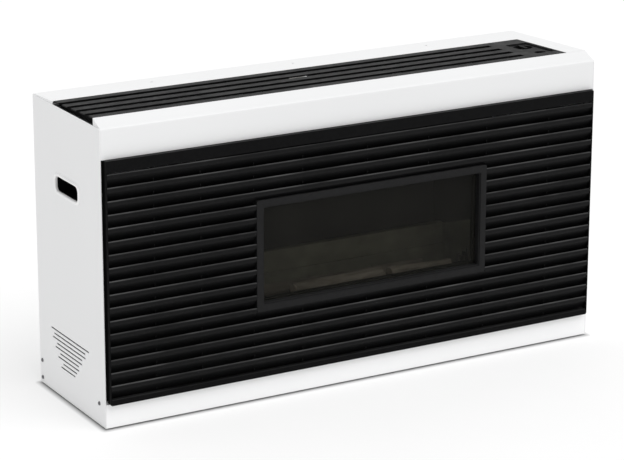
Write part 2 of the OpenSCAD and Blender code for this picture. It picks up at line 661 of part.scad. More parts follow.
module gas_valve() color(alloy) {
    difference() {
        union() {
            bx(valve_x0, valve_x1, valve_d - 30, valve_d + 30, valve_z0, valve_z1);
            // bush for the spindle
            translate([knob_x, dp(knob_d), valve_z1 - 1]) cylinder(h = 14, r = 9, $fn = 48);
            // regulator cap
            translate([valve_x0 + 13, dp(valve_d), valve_z1 - 1]) cylinder(h = 9, r = 10, $fn = 48);
            // outlet boss, left, and magnet housing, front
            rod([valve_x0 - 14, dp(valve_d), 275], [valve_x0 + 1, dp(valve_d), 275], 10, 48);
            rod([valve_x1 - 22, dp(valve_d - 45), 275], [valve_x1 - 22, dp(valve_d - 29), 275], 11, 48);
            // pilot outlet boss
            rod([valve_x0 + 18, dp(valve_d - 41), 275], [valve_x0 + 18, dp(valve_d - 29), 275], 6, 32);
            // inlet boss, below
            translate([inlet_x, dp(valve_d), valve_z0 - 12]) cylinder(h = 13, r = 12, $fn = 48);
        }
        translate([knob_x, dp(knob_d), 300]) cylinder(h = 60, r = 3.06, $fn = 32);
        translate([knob_x, dp(knob_d), 257]) cylinder(h = 60, r = 2.56, $fn = 32);
        // face screws' recesses
        for (x = [valve_x0 + 8, valve_x1 - 8], z = [valve_z0 + 8, valve_z1 - 8])
            translate([x, dp(valve_d - 31), z]) rotate([-90, 0, 0]) cylinder(h = 4, r = 3, $fn = 24);
    }
}
module valve_bracket() color(zinc) {
    d = valve_d + 31;
    difference() {
        union() {
            bx(405, 479, d, d + 2, foot_h + t, 334);
            bx(405, 479, valve_d - 30, d + 2, valve_z0 - 15.5, valve_z0 - 13.5);
            bx(405, 479, d, d + 32, foot_h + t, foot_h + t + 2);
        }
        translate([inlet_x, dp(valve_d), valve_z0 - 20]) cylinder(h = 10, r = 12.5, $fn = 48);
        bx(440, 466, d - 5, d + 5, 60, 200);
    }
}
module inlet_fitting() color(brass_c) {
    // male threaded tail through the base, with a hexagon and a union nut above
    difference() {
        union() {
            translate([inlet_x, dp(inlet_d), foot_h + 0.5]) cylinder(h = 22.5, r = inlet_r, $fn = 48);
            translate([inlet_x, dp(inlet_d), 20]) cylinder(h = 11, r = 9.4, $fn = 48);
            translate([inlet_x, dp(inlet_d), 30]) cylinder(h = 12, r = 15.5, $fn = 6);
            translate([inlet_x, dp(inlet_d), 41.9]) cylinder(h = 10, r = 9.5, $fn = 48);
        }
        translate([inlet_x, dp(inlet_d), 0]) cylinder(h = 34, r = 7.5, $fn = 48);
    }
}
module inlet_bracket() color(zinc)
    difference() {
        union() {
            bx(inlet_x - 28, inlet_x + 28, inlet_d - 28, inlet_d + 28, foot_h + t, foot_h + t + 2);
            bx(inlet_x - 28, inlet_x + 28, inlet_d - 28, inlet_d - 26, foot_h + t, 27);
            bx(inlet_x - 28, inlet_x + 28, inlet_d - 28, inlet_d + 28, 27.5, 29.5);
        }
        translate([inlet_x, dp(inlet_d), 20]) cylinder(h = 20, r = 11.2, $fn = 48);
        translate([inlet_x, dp(inlet_d), 0]) cylinder(h = 15, r = 20, $fn = 48);
    }
module supply_pipe() color(alloy)
    pipe([[inlet_x, dp(inlet_d), 52], [inlet_x, dp(inlet_d), 100], [inlet_x, dp(valve_d), 100],
          [inlet_x, dp(valve_d), valve_z0 - 12.1]], 6, 8, 24);

module feed_pipe() color(alloy)
    pipe([[valve_x0 - 14.1, dp(valve_d), 275], [372, dp(valve_d), 275], [372, dp(valve_d), 175],
          [372, dp(burner_d), 175], [372, dp(burner_d), venturi_z], [358, dp(burner_d), venturi_z]],
         4, 8, 24);

module injector() color(brass_c) {
    rod([342, dp(burner_d), venturi_z], [350, dp(burner_d), venturi_z], 5.5, 32);
    translate([350, dp(burner_d), venturi_z]) rotate([0, 90, 0]) cylinder(h = 7.9, r = 8.5, $fn = 6);
    rod([335, dp(burner_d), venturi_z], [342.1, dp(burner_d), venturi_z], 3.5, 32);
}
module injector_bracket() color(zinc)
    difference() {
        union() {
            bx(346.5, 349, burner_d - 22, burner_d + 22, foot_h + t, venturi_z + 20);
            bx(346.5, 380, burner_d - 22, burner_d + 22, foot_h + t, foot_h + t + 2);
        }
        rod([340, dp(burner_d), venturi_z], [360, dp(burner_d), venturi_z], 5.9, 32);
    }
module air_shutter() color(zinc)
    difference() {
        rod([306, dp(burner_d), venturi_z], [326, dp(burner_d), venturi_z], 17.3, 48);
        rod([300, dp(burner_d), venturi_z], [330, dp(burner_d), venturi_z], 16.06, 48);
        for (a = [0, 180]) translate([310, dp(burner_d), venturi_z]) rotate([a, 0, 0])
            translate([0, -5, 0]) cube([12, 10, 20]);
    }
module burner_tube() color(stainless) {
    difference() {
        union() {
            rod([burner_x1 - 1, dp(burner_d), venturi_z], [331, dp(burner_d), venturi_z], 16, 48);
            rod([327, dp(burner_d), venturi_z], [331, dp(burner_d), venturi_z], 18.5, 48);
            rod([302, dp(burner_d), venturi_z], [305, dp(burner_d), venturi_z], 18.5, 48);
        }
        rod([burner_x1 - 3, dp(burner_d), venturi_z], [335, dp(burner_d), venturi_z], 14.4, 48);
        for (a = [0, 180]) translate([310, dp(burner_d), venturi_z]) rotate([a, 0, 0])
            translate([0, -5, 0]) cube([12, 10, 20]);
    }
}
module burner_bar() color(stainless) {
    // long pressed burner with rows of flame ports along its top
    z0 = venturi_z - 16.5; z1 = venturi_z + 16.5;
    difference() {
        bx(burner_x0, burner_x1 - 1.2, burner_d - 24, burner_d + 24, z0, z1);
        bx(burner_x0 + 1.5, burner_x1 + 5, burner_d - 22.5, burner_d + 22.5, z0 + 1.5, z1 - 1.5);
        for (i = [0:18]) for (k = [-1, 0, 1])
            translate([burner_x0 + 18 + i * (burner_l - 36) / 18 - 6, dp(burner_d + k * 13) - 1, z1 - 5]) cube([12, 2, 10]);
    }
    difference() {
        bx(burner_x1 - 1.6, burner_x1 - 1.1, burner_d - 24, burner_d + 24, z0, z1);
        rod([burner_x1 - 5, dp(burner_d), venturi_z], [burner_x1 + 5, dp(burner_d), venturi_z], 14.4, 48);
    }
}

// ---------------------------------------------------------------- fire

module firebox() color(dark_steel) {
    difference() {
        bx(fire_x0, fire_x1, fire_d0, fire_d1, fire_z0, fire_z1);
        bx(fire_x0 + t, fire_x1 - t, fire_d0 - 5, fire_d1 - t, fire_z0 + t, fire_z1 - t);
        // opening to the flue collector
        bx(win_xc - 120, win_xc + 120, 74, 176, fire_z1 - 5, fire_z1 + 5);
        // burner tube entry
        rod([fire_x1 - 10, dp(burner_d), venturi_z], [fire_x1 + 10, dp(burner_d), venturi_z], 17, 48);
        // pilot entry
        bx(pilot_x - 17, pilot_x + 17, 40, 66, fire_z0 - 5, fire_z0 + 5);
    }
}
module fire_front() color(dark_steel) {
    // flange between the fire box and the glass
    difference() {
        bx(fire_x0 - 14, fire_x1 + 14, 13.6, 15.9, fire_z0 - 12, fire_z1 + 12);
        bx(win_x0 + win_bar + 3, win_x1 - win_bar - 3, 5, 25, win_z0 + win_bar + 3, win_z1 - win_bar - 3);
    }
}
module fire_back() color(board_c) {
    // ceramic board behind the logs, with a ledge along its upper edge
    bx(fire_x0 + 8, fire_x1 - 8, 150, 162, fire_z0 + t + 0.2, 231);
    bx(fire_x0 + 8, fire_x1 - 8, 144, 150.01, fire_z0 + t + 0.2, 190);
}
module ember_tray() color([0.36, 0.34, 0.30]) {
    // moulded rest for the logs, round the front and ends of the burner
    z0 = fire_z0 + t + 0.2;
    difference() {
        union() {
            bx(burner_x0 - 20, 240, 28, 72, z0, 164);
            bx(burner_x0 - 20, burner_x0 - 2, 28, 142, z0, 158);
            bx(burner_x0 - 20, 228, 127, 142, z0, 160);
        }
        bx(burner_x0 - 14, 234, 33, 67, 156, 180);
    }
    for (i = [0:12]) translate([burner_x0 + 6 + i * 32, dp(50 + 7 * ((i % 3) - 1)), 159])
        rotate([0, 0, i * 37]) cube([13, 11, 8], center = true);
}
// moulded log with split bark, sawn ends and two branch stubs
module split_log(a, b, r, spin) {
    v = b - a; l = norm(v);
    translate(a) rotate([0, acos(v[2] / l), atan2(v[1], v[0])]) rotate([0, 0, spin])
        difference() {
            union() {
                cylinder(h = l, r = r - 1.4, $fn = 48);
                translate([0.5, 0.3, l * 0.06]) cylinder(h = l * 0.52, r = r - 0.9, $fn = 48);
                translate([-0.4, 0.6, l * 0.44]) cylinder(h = l * 0.5, r = r - 1.1, $fn = 48);
                translate([0, 0, l * 0.3]) rotate([0, 62, 15]) cylinder(h = r + 5, r = r * 0.28, $fn = 24);
                translate([0, 0, l * 0.72]) rotate([0, 70, -30]) cylinder(h = r + 3.5, r = r * 0.22, $fn = 24);
            }
            for (k = [0:10]) rotate([0, 0, k * 33]) translate([r - 3.1, -0.6, l * (0.04 + 0.07 * (k % 4))])
                rotate([0, 0, 14]) cube([6, 1.3, l * (0.3 + 0.13 * (k % 3))]);
            for (e = [0, 1]) translate([0, 0, e * l]) rotate([7, -5 + 9 * e, 0])
                translate([-30, -30, -3 + e * 2.2]) cube([60, 60, 0.8]);
        }
}
module log_front_left() color(log_c) split_log([-112, dp(49), 181.4], [84, dp(53), 184.4], 17.6, 150);
module log_front_right() color(log_c) split_log([102, dp(56), 180.6], [236, dp(49), 178.6], 15, 160);
module log_rear() color(log_c) split_log([-152, dp(108), 168.9], [208, dp(110), 168.4], 14, 170);

module pilot_bracket() color(stainless)
    difference() {
        z0 = fire_z0 + t + 0.1;
        union() {
            bx(pilot_x - 19, pilot_x + 19, 38, 68, z0, z0 + 1.5);
            bx(pilot_x - 19, pilot_x + 19, 64, 66, z0, 176);
            bx(pilot_x - 19, pilot_x + 19, 46, 66, 174.5, 176);
        }
        translate([pilot_x, dp(pilot_d), 100]) cylinder(h = 90, r = 4.5, $fn = 32);
        for (s = [-11, 11]) translate([pilot_x + s, dp(pilot_d), 100]) cylinder(h = 90, r = 3.5, $fn = 32);
    }
module pilot_burner() color(stainless) {
    difference() {
        union() {
            translate([pilot_x, dp(pilot_d), 140]) cylinder(h = 48, r = 4.1, $fn = 32);
            translate([pilot_x, dp(pilot_d), 164]) cylinder(h = 8, r = 6.2, $fn = 6);
            translate([pilot_x - 6, dp(pilot_d - 6), 187.9]) cube([12, 12, 2]);
            translate([pilot_x + 4, dp(pilot_d - 6), 187.9]) cube([2, 12, 10]);
        }
        translate([pilot_x, dp(pilot_d), 130]) cylinder(h = 24, r = 2.3, $fn = 24);
    }
}
module thermocouple() color(copper_c) {
    // probe beside the pilot flame, with its lead to the valve
    x = pilot_x + 11;
    translate([x, dp(pilot_d), 156]) cylinder(h = 38, r = 3.1, $fn = 32);
    translate([x, dp(pilot_d), 193.9]) cylinder(h = 10, r = 1.8, $fn = 32);
    pipe([[x, dp(pilot_d), 157], [x, dp(pilot_d), 100], [384, dp(pilot_d), 100], [384, dp(pilot_d), 290],
          [valve_x1 - 22, dp(pilot_d), 290], [valve_x1 - 22, dp(pilot_d), 275],
          [valve_x1 - 22, dp(valve_d - 45.1), 275]], 1.5, 6, 24);
}
module spark_electrode() color(ceramic_c) {
    // ceramic insulator with a bent wire tip
    x = pilot_x - 11;
    translate([x, dp(pilot_d), 150]) cylinder(h = 34, r = 3.1, $fn = 32);
    pipe([[x, dp(pilot_d), 183], [x, dp(pilot_d), 196], [x + 6, dp(pilot_d), 196]], 0.9, 1.6, 24);
}
module pilot_pipe() color(alloy)
    pipe([[pilot_x, dp(pilot_d), 153.9], [pilot_x, dp(pilot_d), 80], [396, dp(pilot_d), 80], [396, dp(pilot_d), 275],
          [valve_x0 + 18, dp(pilot_d), 275], [valve_x0 + 18, dp(valve_d - 41.1), 275]], 2, 8, 24);
module ignition_lead() color([0.75, 0.22, 0.16])
    pipe([[pilot_x - 11, dp(pilot_d), 149.9], [pilot_x - 11, dp(pilot_d), 80], [pilot_x - 11, dp(40), 80],
          [402, dp(40), 80], [402, dp(40), 440], [knob_x, dp(40), 440], [knob_x, dp(button_d), 440],
          [knob_x, dp(button_d), 479.9]], 2.4, 8, 24);

// ---------------------------------------------------------------- heat and flue

module flue_collector() color(dark_steel) {
    // duct over the fire box that gathers the products and leads them back
    difference() {
        bx(win_xc - 130, win_xc + 130, 66, 186, fire_z1 + 0.1, 546);
        bx(win_xc - 128.5, win_xc + 128.5, 67.5, 184.5, fire_z1 - 5, 544.5);
        translate([win_xc, dp(150), flue_z]) rotate([-90, 0, 0]) cylinder(h = 60, r = flue_r - 1, $fn = 64);
    }
}
module exchanger_fins() color([0.30, 0.30, 0.30])
    for (s = [-1, 1]) for (i = [0:5])
        translate([win_xc + s * (144 + i * 19) - 0.9, dp(64), fire_z1 + 0.1]) cube([1.8, 116, 88]);
module flue_spigot() color(stainless) {
    translate([win_xc, dp(0), flue_z]) rotate([-90, 0, 0])
        difference() {
            union() {
                translate([0, 0, 186.2]) cylinder(h = body_d - 186.2, r = flue_r, $fn = 64);
                translate([0, 0, 186.2]) cylinder(h = 2, r = flue_r + 6, $fn = 64);
            }
            translate([0, 0, 180]) cylinder(h = 120, r = flue_r - 1.2, $fn = 64);
        }
}
module air_deflector() color(dark_steel) {
    // leans back under the trim and turns the warm air up through the top grille
    along_x(fire_x0 - 20, fire_x1 + 20)
        polygon([[dp(20), 440], [dp(21.5), 440], [dp(top_d0 + 5.5), 500], [dp(top_d0 + 5.5), body_h - 9],
                 [dp(top_d0 + 4), body_h - 9], [dp(top_d0 + 4), 500.3]]);
    for (x = [fire_x0 - 20, fire_x1 + 18]) bx(x, x + 2, t + 0.1, top_d0 + 4.1, 536.5, 546);
}
module heat_shield() color([0.72, 0.73, 0.74])
    // bright sheet between the fire and the back panel
    difference() {
        bx(fire_x0 - 30, fire_x1 + 30, 214, 215.2, 60, 537);
        translate([win_xc, dp(205), flue_z]) rotate([-90, 0, 0]) cylinder(h = 20, r = flue_r + 4, $fn = 64);
        for (x = [fire_x0 - 10, fire_x1 + 10], z = [90, 500])
            rod([x, dp(210), z], [x, dp(220), z], 2.2, 24);
    }
module shield_spacers() color(zinc)
    for (x = [fire_x0 - 10, fire_x1 + 10], z = [90, 500]) {
        rod([x, dp(215.3), z], [x, dp(body_d - 7.6), z], 5, 32);
        rod([x, dp(212.5), z], [x, dp(216), z], 2, 24);
        rod([x, dp(211), z], [x, dp(213.9), z], 3.6, 32);
    }
module fire_legs() color(zinc)
    for (x = [fire_x0 + 40, fire_x1 - 60], d = [75, 178]) translate([x, dp(d), 0]) {
        z0 = foot_h + t; z1 = fire_z0 - 0.1;
        translate([0, 0, z0]) cylinder(h = z1 - z0, r = 7, $fn = 48);
        translate([0, 0, z0]) cylinder(h = 2.5, r = 13, $fn = 48);
        translate([0, 0, z1 - 2.5]) cylinder(h = 2.5, r = 13, $fn = 48);
    }

side_panel_left();
side_panel_right();
hand_rims();
hand_cups();
top_trim();
base_plinth();
base_pan();
back_panel();
top_plate();
wall_bracket();
feet();
side_screws();
grille_frame();
louvres_upper();
louvres_left();
louvres_right();
louvres_lower();
window_frame();
window_glass();
glass_gasket();
top_grille();
control_bay();
control_knob();
knob_pointer();
knob_spindle();
valve_plunger();
igniter_button();
igniter_bezel();
igniter_body();
gas_valve();
valve_bracket();
inlet_fitting();
inlet_bracket();
supply_pipe();
feed_pipe();
injector();
injector_bracket();
air_shutter();
burner_tube();
burner_bar();
firebox();
fire_front();
fire_back();
ember_tray();
log_front_left();
log_front_right();
log_rear();
pilot_bracket();
pilot_burner();
thermocouple();
spark_electrode();
pilot_pipe();
ignition_lead();
flue_collector();
exchanger_fins();
flue_spigot();
heat_shield();
shield_spacers();
air_deflector();
fire_legs();
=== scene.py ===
import bpy, bmesh, json, math, random
from mathutils import Vector, Matrix, noise


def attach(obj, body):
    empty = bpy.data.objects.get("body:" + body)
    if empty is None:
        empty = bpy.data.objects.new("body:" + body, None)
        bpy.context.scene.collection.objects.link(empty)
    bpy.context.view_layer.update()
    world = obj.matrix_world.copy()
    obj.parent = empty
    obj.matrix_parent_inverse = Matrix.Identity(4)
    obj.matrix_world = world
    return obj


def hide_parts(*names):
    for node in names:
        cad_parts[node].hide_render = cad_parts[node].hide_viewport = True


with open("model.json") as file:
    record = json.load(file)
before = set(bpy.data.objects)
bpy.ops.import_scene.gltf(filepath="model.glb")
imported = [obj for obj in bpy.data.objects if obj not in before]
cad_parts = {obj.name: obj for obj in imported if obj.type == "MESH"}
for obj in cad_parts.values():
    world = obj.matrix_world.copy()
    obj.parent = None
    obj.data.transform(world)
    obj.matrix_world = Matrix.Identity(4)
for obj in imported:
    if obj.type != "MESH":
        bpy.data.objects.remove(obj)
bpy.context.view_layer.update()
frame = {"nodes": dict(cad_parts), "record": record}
nodes = frame["nodes"]
scene = bpy.context.scene


# ------------------------------------------------------------------ camera
def make_camera():
    az, el, roll = math.radians(-29.7), math.radians(17.2), math.radians(0.1)
    dist = 4.9936
    target = Vector((-0.0425, -0.037, 0.2771))
    back = Vector((math.sin(az) * math.cos(el), -math.cos(az) * math.cos(el), math.sin(el)))
    right = Vector((math.cos(az), math.sin(az), 0.0))
    up = back.cross(right)
    r2 = right * math.cos(roll) + up * math.sin(roll)
    u2 = up * math.cos(roll) - right * math.sin(roll)
    cam = bpy.data.cameras.new("camera")
    cam.sensor_fit = "HORIZONTAL"
    cam.sensor_width = 36.0
    cam.lens = 2650.1 / 624.0 * 36.0
    cam.clip_start, cam.clip_end = 0.05, 100.0
    ob = bpy.data.objects.new("camera", cam)
    m = Matrix((r2, u2, back)).transposed().to_4x4()
    m.translation = target + back * dist
    ob.matrix_world = m
    scene.collection.objects.link(ob)
    scene.camera = ob
    return ob


make_camera()


# ------------------------------------------------------------------ materials
class Mat:
    """A procedural material: object coordinates in metres drive noise, grain and bump."""

    def __init__(self, name):
        self.m = bpy.data.materials.new(name)
        self.m.use_nodes = True
        self.t = self.m.node_tree
        self.n = self.t.nodes
        self.b = self.n["Principled BSDF"]
        self.co = self.n.new("ShaderNodeTexCoord").outputs["Object"]

    def link(self, a, b):
        self.t.links.new(a, b)

    def setv(self, **kw):
        for k, v in kw.items():
            self.b.inputs[k.replace("_", " ")].default_value = v

    def stretch(self, x, y, z):
        mp = self.n.new("ShaderNodeMapping")
        mp.inputs["Scale"].default_value = (x, y, z)
        self.link(self.co, mp.inputs["Vector"])
        return mp.outputs["Vector"]

    def noise(self, scale, detail=4.0, rough=0.55, vec=None, dist=0.0):
        nd = self.n.new("ShaderNodeTexNoise")
        nd.inputs["Scale"].default_value = scale
        nd.inputs["Detail"].default_value = detail
        nd.inputs["Roughness"].default_value = rough
        nd.inputs["Distortion"].default_value = dist
        self.link(vec if vec is not None else self.co, nd.inputs["Vector"])
        return nd.outputs["Fac"]

    def voronoi(self, scale, vec=None, feature="F1"):
        nd = self.n.new("ShaderNodeTexVoronoi")
        nd.feature = feature
        nd.inputs["Scale"].default_value = scale
        self.link(vec if vec is not None else self.co, nd.inputs["Vector"])
        return nd.outputs["Distance"]

    def remap(self, src, a, b, c, d):
        nd = self.n.new("ShaderNodeMapRange")
        for i, v in zip((1, 2, 3, 4), (a, b, c, d)):
            nd.inputs[i].default_value = v
        self.link(src, nd.inputs[0])
        return nd.outputs[0]

    def ramp(self, src, stops):
        nd = self.n.new("ShaderNodeValToRGB")
        e = nd.color_ramp.elements
        while len(e) < len(stops):
            e.new(0.5)
        for i, (p, c) in enumerate(stops):
            e[i].position = p
            e[i].color = (*c, 1.0)
        self.link(src, nd.inputs[0])
        return nd.outputs["Color"]

    def mix(self, fac, a, b):
        nd = self.n.new("ShaderNodeMix")
        nd.data_type = "RGBA"
        if isinstance(fac, float):
            nd.inputs[0].default_value = fac
        else:
            self.link(fac, nd.inputs[0])
        for sock, v in ((nd.inputs[6], a), (nd.inputs[7], b)):
            if isinstance(v, tuple):
                sock.default_value = (*v, 1.0)
            else:
                self.link(v, sock)
        return nd.outputs[2]

    def math(self, op, a, b=None):
        nd = self.n.new("ShaderNodeMath")
        nd.operation = op
        for i, v in enumerate((a, b)):
            if v is None:
                continue
            if isinstance(v, (int, float)):
                nd.inputs[i].default_value = v
            else:
                self.link(v, nd.inputs[i])
        return nd.outputs[0]

    def colour(self, src):
        self.link(src, self.b.inputs["Base Color"])

    def rough(self, src):
        self.link(src, self.b.inputs["Roughness"])

    def bump(self, height, strength, distance, prev=None):
        nd = self.n.new("ShaderNodeBump")
        nd.inputs["Strength"].default_value = strength
        nd.inputs["Distance"].default_value = distance
        self.link(height, nd.inputs["Height"])
        if prev is not None:
            self.link(prev, nd.inputs["Normal"])
        self.link(nd.outputs["Normal"], self.b.inputs["Normal"])
        return nd.outputs["Normal"]

    def upward(self):
        """1 where the surface faces up, 0 where it faces sideways or down."""
        g = self.n.new("ShaderNodeNewGeometry")
        s = self.n.new("ShaderNodeSeparateXYZ")
        self.link(g.outputs["Normal"], s.inputs[0])
        return s.outputs["Z"]

    def edges(self, radius):
        """1 on sharp edges, by comparing a rounded normal with the true one."""
        bv = self.n.new("ShaderNodeBevel")
        bv.samples = 4
        bv.inputs["Radius"].default_value = radius
        g = self.n.new("ShaderNodeNewGeometry")
        dt = self.n.new("ShaderNodeVectorMath")
        dt.operation = "DOT_PRODUCT"
        self.link(bv.outputs["Normal"], dt.inputs[0])
        self.link(g.outputs["True Normal"], dt.inputs[1])
        return self.remap(dt.outputs["Value"], 0.999, 0.90, 0.0, 1.0)


def white_powder(name, base, rough=0.42, painted_shade_flange=False):
    m = Mat(name)
    big = m.noise(2.2, 2.0)
    fine = m.noise(240.0, 3.0)
    c1 = tuple(v * 0.985 for v in base)
    col = m.mix(m.remap(big, 0.35, 0.65, 0.0, 1.0), c1, base)
    if painted_shade_flange:
        # painted shade: the folded edge behind the louvres is coloured black where the louvre panel keeps it in
        # shade
        sep = m.n.new("ShaderNodeSeparateXYZ")
        m.link(m.co, sep.inputs[0])
        inner = m.math("LESS_THAN", m.math("ABSOLUTE", sep.outputs["X"]), 0.5234)
        front = m.math("LESS_THAN", sep.outputs["Y"], -0.118)
        col = m.mix(m.math("MULTIPLY", inner, front), col, (0.004, 0.004, 0.004))
    m.colour(col)
    m.rough(m.remap(fine, 0.3, 0.7, rough - 0.04, rough + 0.05))
    m.setv(IOR=1.5, Specular_IOR_Level=0.42)
    peel = m.noise(620.0, 2.0)
    m.bump(peel, 0.10, 0.0003)
    return m.m


def black_enamel(name, base, rough, spec, dust_and_highlight=0.010, peel=0.10, up0=0.2, up1=1.0):
    m = Mat(name)
    fine = m.noise(180.0, 4.0)
    cloud = m.noise(9.0, 3.0)
    # dust on upward faces, and also a painted highlight: surfaces that face up are mixed to a lighter colour
    up = m.remap(m.upward(), up0, up1, 0.0, 1.0)
    dust_and_highlight_mask = m.math("MULTIPLY", up, m.remap(cloud, 0.35, 0.75, 0.15, 1.0))
    tint = tuple(v * 1.35 + 0.001 for v in base)
    col = m.mix(m.remap(fine, 0.35, 0.7, 0.0, 1.0), base, tint)
    m.colour(m.mix(dust_and_highlight_mask, col, tuple(v + dust_and_highlight for v in base)))
    m.rough(m.remap(m.noise(60.0, 3.0), 0.3, 0.7, rough - 0.05, rough + 0.07))
    m.setv(Specular_IOR_Level=spec)
    m.bump(m.noise(900.0, 2.0), peel, 0.0002)
    return m.m


def sheet_zinc(name, base):
    m = Mat(name)
    sp = m.voronoi(95.0)
    v = m.ramp(sp, [(0.0, tuple(c * 0.80 for c in base)), (0.5, base), (1.0, tuple(min(1, c * 1.1) for c in base))])
    m.colour(m.mix(m.remap(m.noise(14.0), 0.3, 0.7, 0.0, 0.5), v, tuple(c * 0.86 for c in base)))
    m.setv(Metallic=1.0)
    m.rough(m.remap(sp, 0.0, 0.8, 0.34, 0.52))
    m.bump(m.noise(500.0), 0.12, 0.0002)
    return m.m


def drawn_metal(name, base, rough, axis=(1, 1, 40), heat=None):
    m = Mat(name)
    g = m.noise(30.0, 5.0, vec=m.stretch(*axis))
    col = m.mix(m.remap(g, 0.3, 0.7, 0.0, 1.0), tuple(c * 0.86 for c in base), base)
    if heat:
        col = m.mix(m.remap(m.noise(11.0, 3.0), 0.45, 0.7, 0.0, 0.65), col, heat)
    m.colour(col)
    m.setv(Metallic=1.0)
    m.rough(m.remap(g, 0.3, 0.7, rough - 0.06, rough + 0.08))
    m.bump(g, 0.06, 0.0002)
    return m.m


def moulded(name, base, rough, spec=0.4, grain=700.0, depth=0.16):
    m = Mat(name)
    n = m.noise(grain, 3.0)
    m.colour(m.mix(m.remap(m.noise(25.0), 0.3, 0.7, 0.0, 1.0), tuple(c * 0.9 for c in base), base))
    m.rough(m.remap(n, 0.3, 0.7, rough - 0.05, rough + 0.08))
    m.setv(Specular_IOR_Level=spec)
    m.bump(n, depth, 0.0002)
    return m.m


def fibre(name, base, dark, soot=0.5, scale=1.0):
    """Sooted ceramic fibre: cracked, mottled and rough."""
    m = Mat(name)
    a = m.noise(26.0 * scale, 6.0, 0.65)
    b = m.noise(7.0 * scale, 3.0)
    col = m.mix(m.remap(a, 0.35, 0.68, 0.0, 1.0), dark, base)
    col = m.mix(m.remap(b, 0.42, 0.66, 0.0, soot), col, tuple(c * 0.35 for c in dark))
    m.colour(col)
    m.setv(Roughness=0.95, Specular_IOR_Level=0.15)
    m.bump(m.noise(160.0 * scale, 5.0, 0.7), 0.7, 0.0012)
    return m.m


def fire_shell(name):
    """Stove-black sheet, bleached by the flames in its lower part up to a rising line."""
    m = Mat(name)
    s = m.n.new("ShaderNodeSeparateXYZ")
    m.link(m.co, s.inputs[0])
    line = m.math("ADD", s.outputs["Z"], m.math("MULTIPLY", s.outputs["Y"], 0.326))
    line = m.math("ADD", line, m.math("MULTIPLY", m.noise(16.0, 4.0), 0.004))
    low = m.remap(line, 0.2345, 0.2375, 1.0, 0.0)
    ash = m.mix(m.remap(m.noise(22.0, 5.0, 0.6), 0.35, 0.68, 0.0, 1.0), (0.125, 0.121, 0.099), (0.190, 0.184, 0.151))
    dark = m.mix(m.remap(m.noise(9.0, 3.0), 0.35, 0.7, 0.0, 1.0), (0.016, 0.016, 0.016), (0.024, 0.024, 0.024))
    m.colour(m.mix(low, dark, ash))
    m.setv(Roughness=0.9, Specular_IOR_Level=0.04)
    m.bump(m.noise(90.0, 3.0), 0.05, 0.0003)
    return m.m


def log_bark(name, k=1.0):
    m = Mat(name)
    v = m.stretch(1.0, 7.0, 7.0)
    g = m.noise(16.0, 7.0, 0.68, vec=v, dist=0.6)
    tones = ((0.30, (0.108, 0.092, 0.080)), (0.47, (0.190, 0.163, 0.144)), (0.60, (0.252, 0.222, 0.201)),
             (0.76, (0.308, 0.277, 0.252)))
    col = m.ramp(g, [(p, tuple(c * k for c in rgb)) for p, rgb in tones])
    char = m.remap(m.noise(9.0, 4.0), 0.48, 0.66, 0.0, 0.5)
    m.colour(m.mix(char, col, (0.080, 0.072, 0.060)))
    m.setv(Roughness=0.93, Specular_IOR_Level=0.15)
    m.bump(g, 0.8, 0.002)
    return m.m


def smoked_glass(name):
    m = Mat(name)
    n, t = m.n, m.t
    out = n["Material Output"]
    n.remove(m.b)
    tr = n.new("ShaderNodeBsdfTransparent")
    tr.inputs["Color"].default_value = (0.74, 0.74, 0.71, 1.0)
    gl = n.new("ShaderNodeBsdfGlossy")
    gl.inputs["Color"].default_value = (0.9, 0.92, 0.94, 1.0)
    gl.inputs["Roughness"].default_value = 0.5
    fr = n.new("ShaderNodeFresnel")
    fr.inputs["IOR"].default_value = 1.12
    mx = n.new("ShaderNodeMixShader")
    t.links.new(fr.outputs[0], mx.inputs[0])
    t.links.new(tr.outputs[0], mx.inputs[1])
    t.links.new(gl.outputs[0], mx.inputs[2])
    # faint haze where the flames leave their mark
    df = n.new("ShaderNodeBsdfDiffuse")
    df.inputs["Color"].default_value = (0.20, 0.19, 0.165, 1.0)
    mx2 = n.new("ShaderNodeMixShader")
    haze = m.remap(m.noise(5.0, 4.0, 0.6), 0.35, 0.75, 0.016, 0.034)
    t.links.new(haze, mx2.inputs[0])
    t.links.new(mx.outputs[0], mx2.inputs[1])
    t.links.new(df.outputs[0], mx2.inputs[2])
    t.links.new(mx2.outputs[0], out.inputs["Surface"])
    return m.m


def rope(name):
    m = Mat(name)
    w = m.voronoi(420.0)
    m.colour(m.ramp(w, [(0.0, (0.006, 0.006, 0.006)), (0.6, (0.014, 0.014, 0.014)), (1.0, (0.022, 0.022, 0.021))]))
    m.setv(Roughness=0.9)
    m.bump(w, 0.8, 0.001)
    return m.m


def rubber(name, base):
    m = Mat(name)
    n = m.noise(300.0, 4.0)
    m.colour(m.mix(m.remap(n, 0.3, 0.7, 0.0, 1.0), tuple(c * 0.8 for c in base), base))
    m.setv(Roughness=0.75, Specular_IOR_Level=0.3)
    m.bump(n, 0.2, 0.0003)
    return m.m


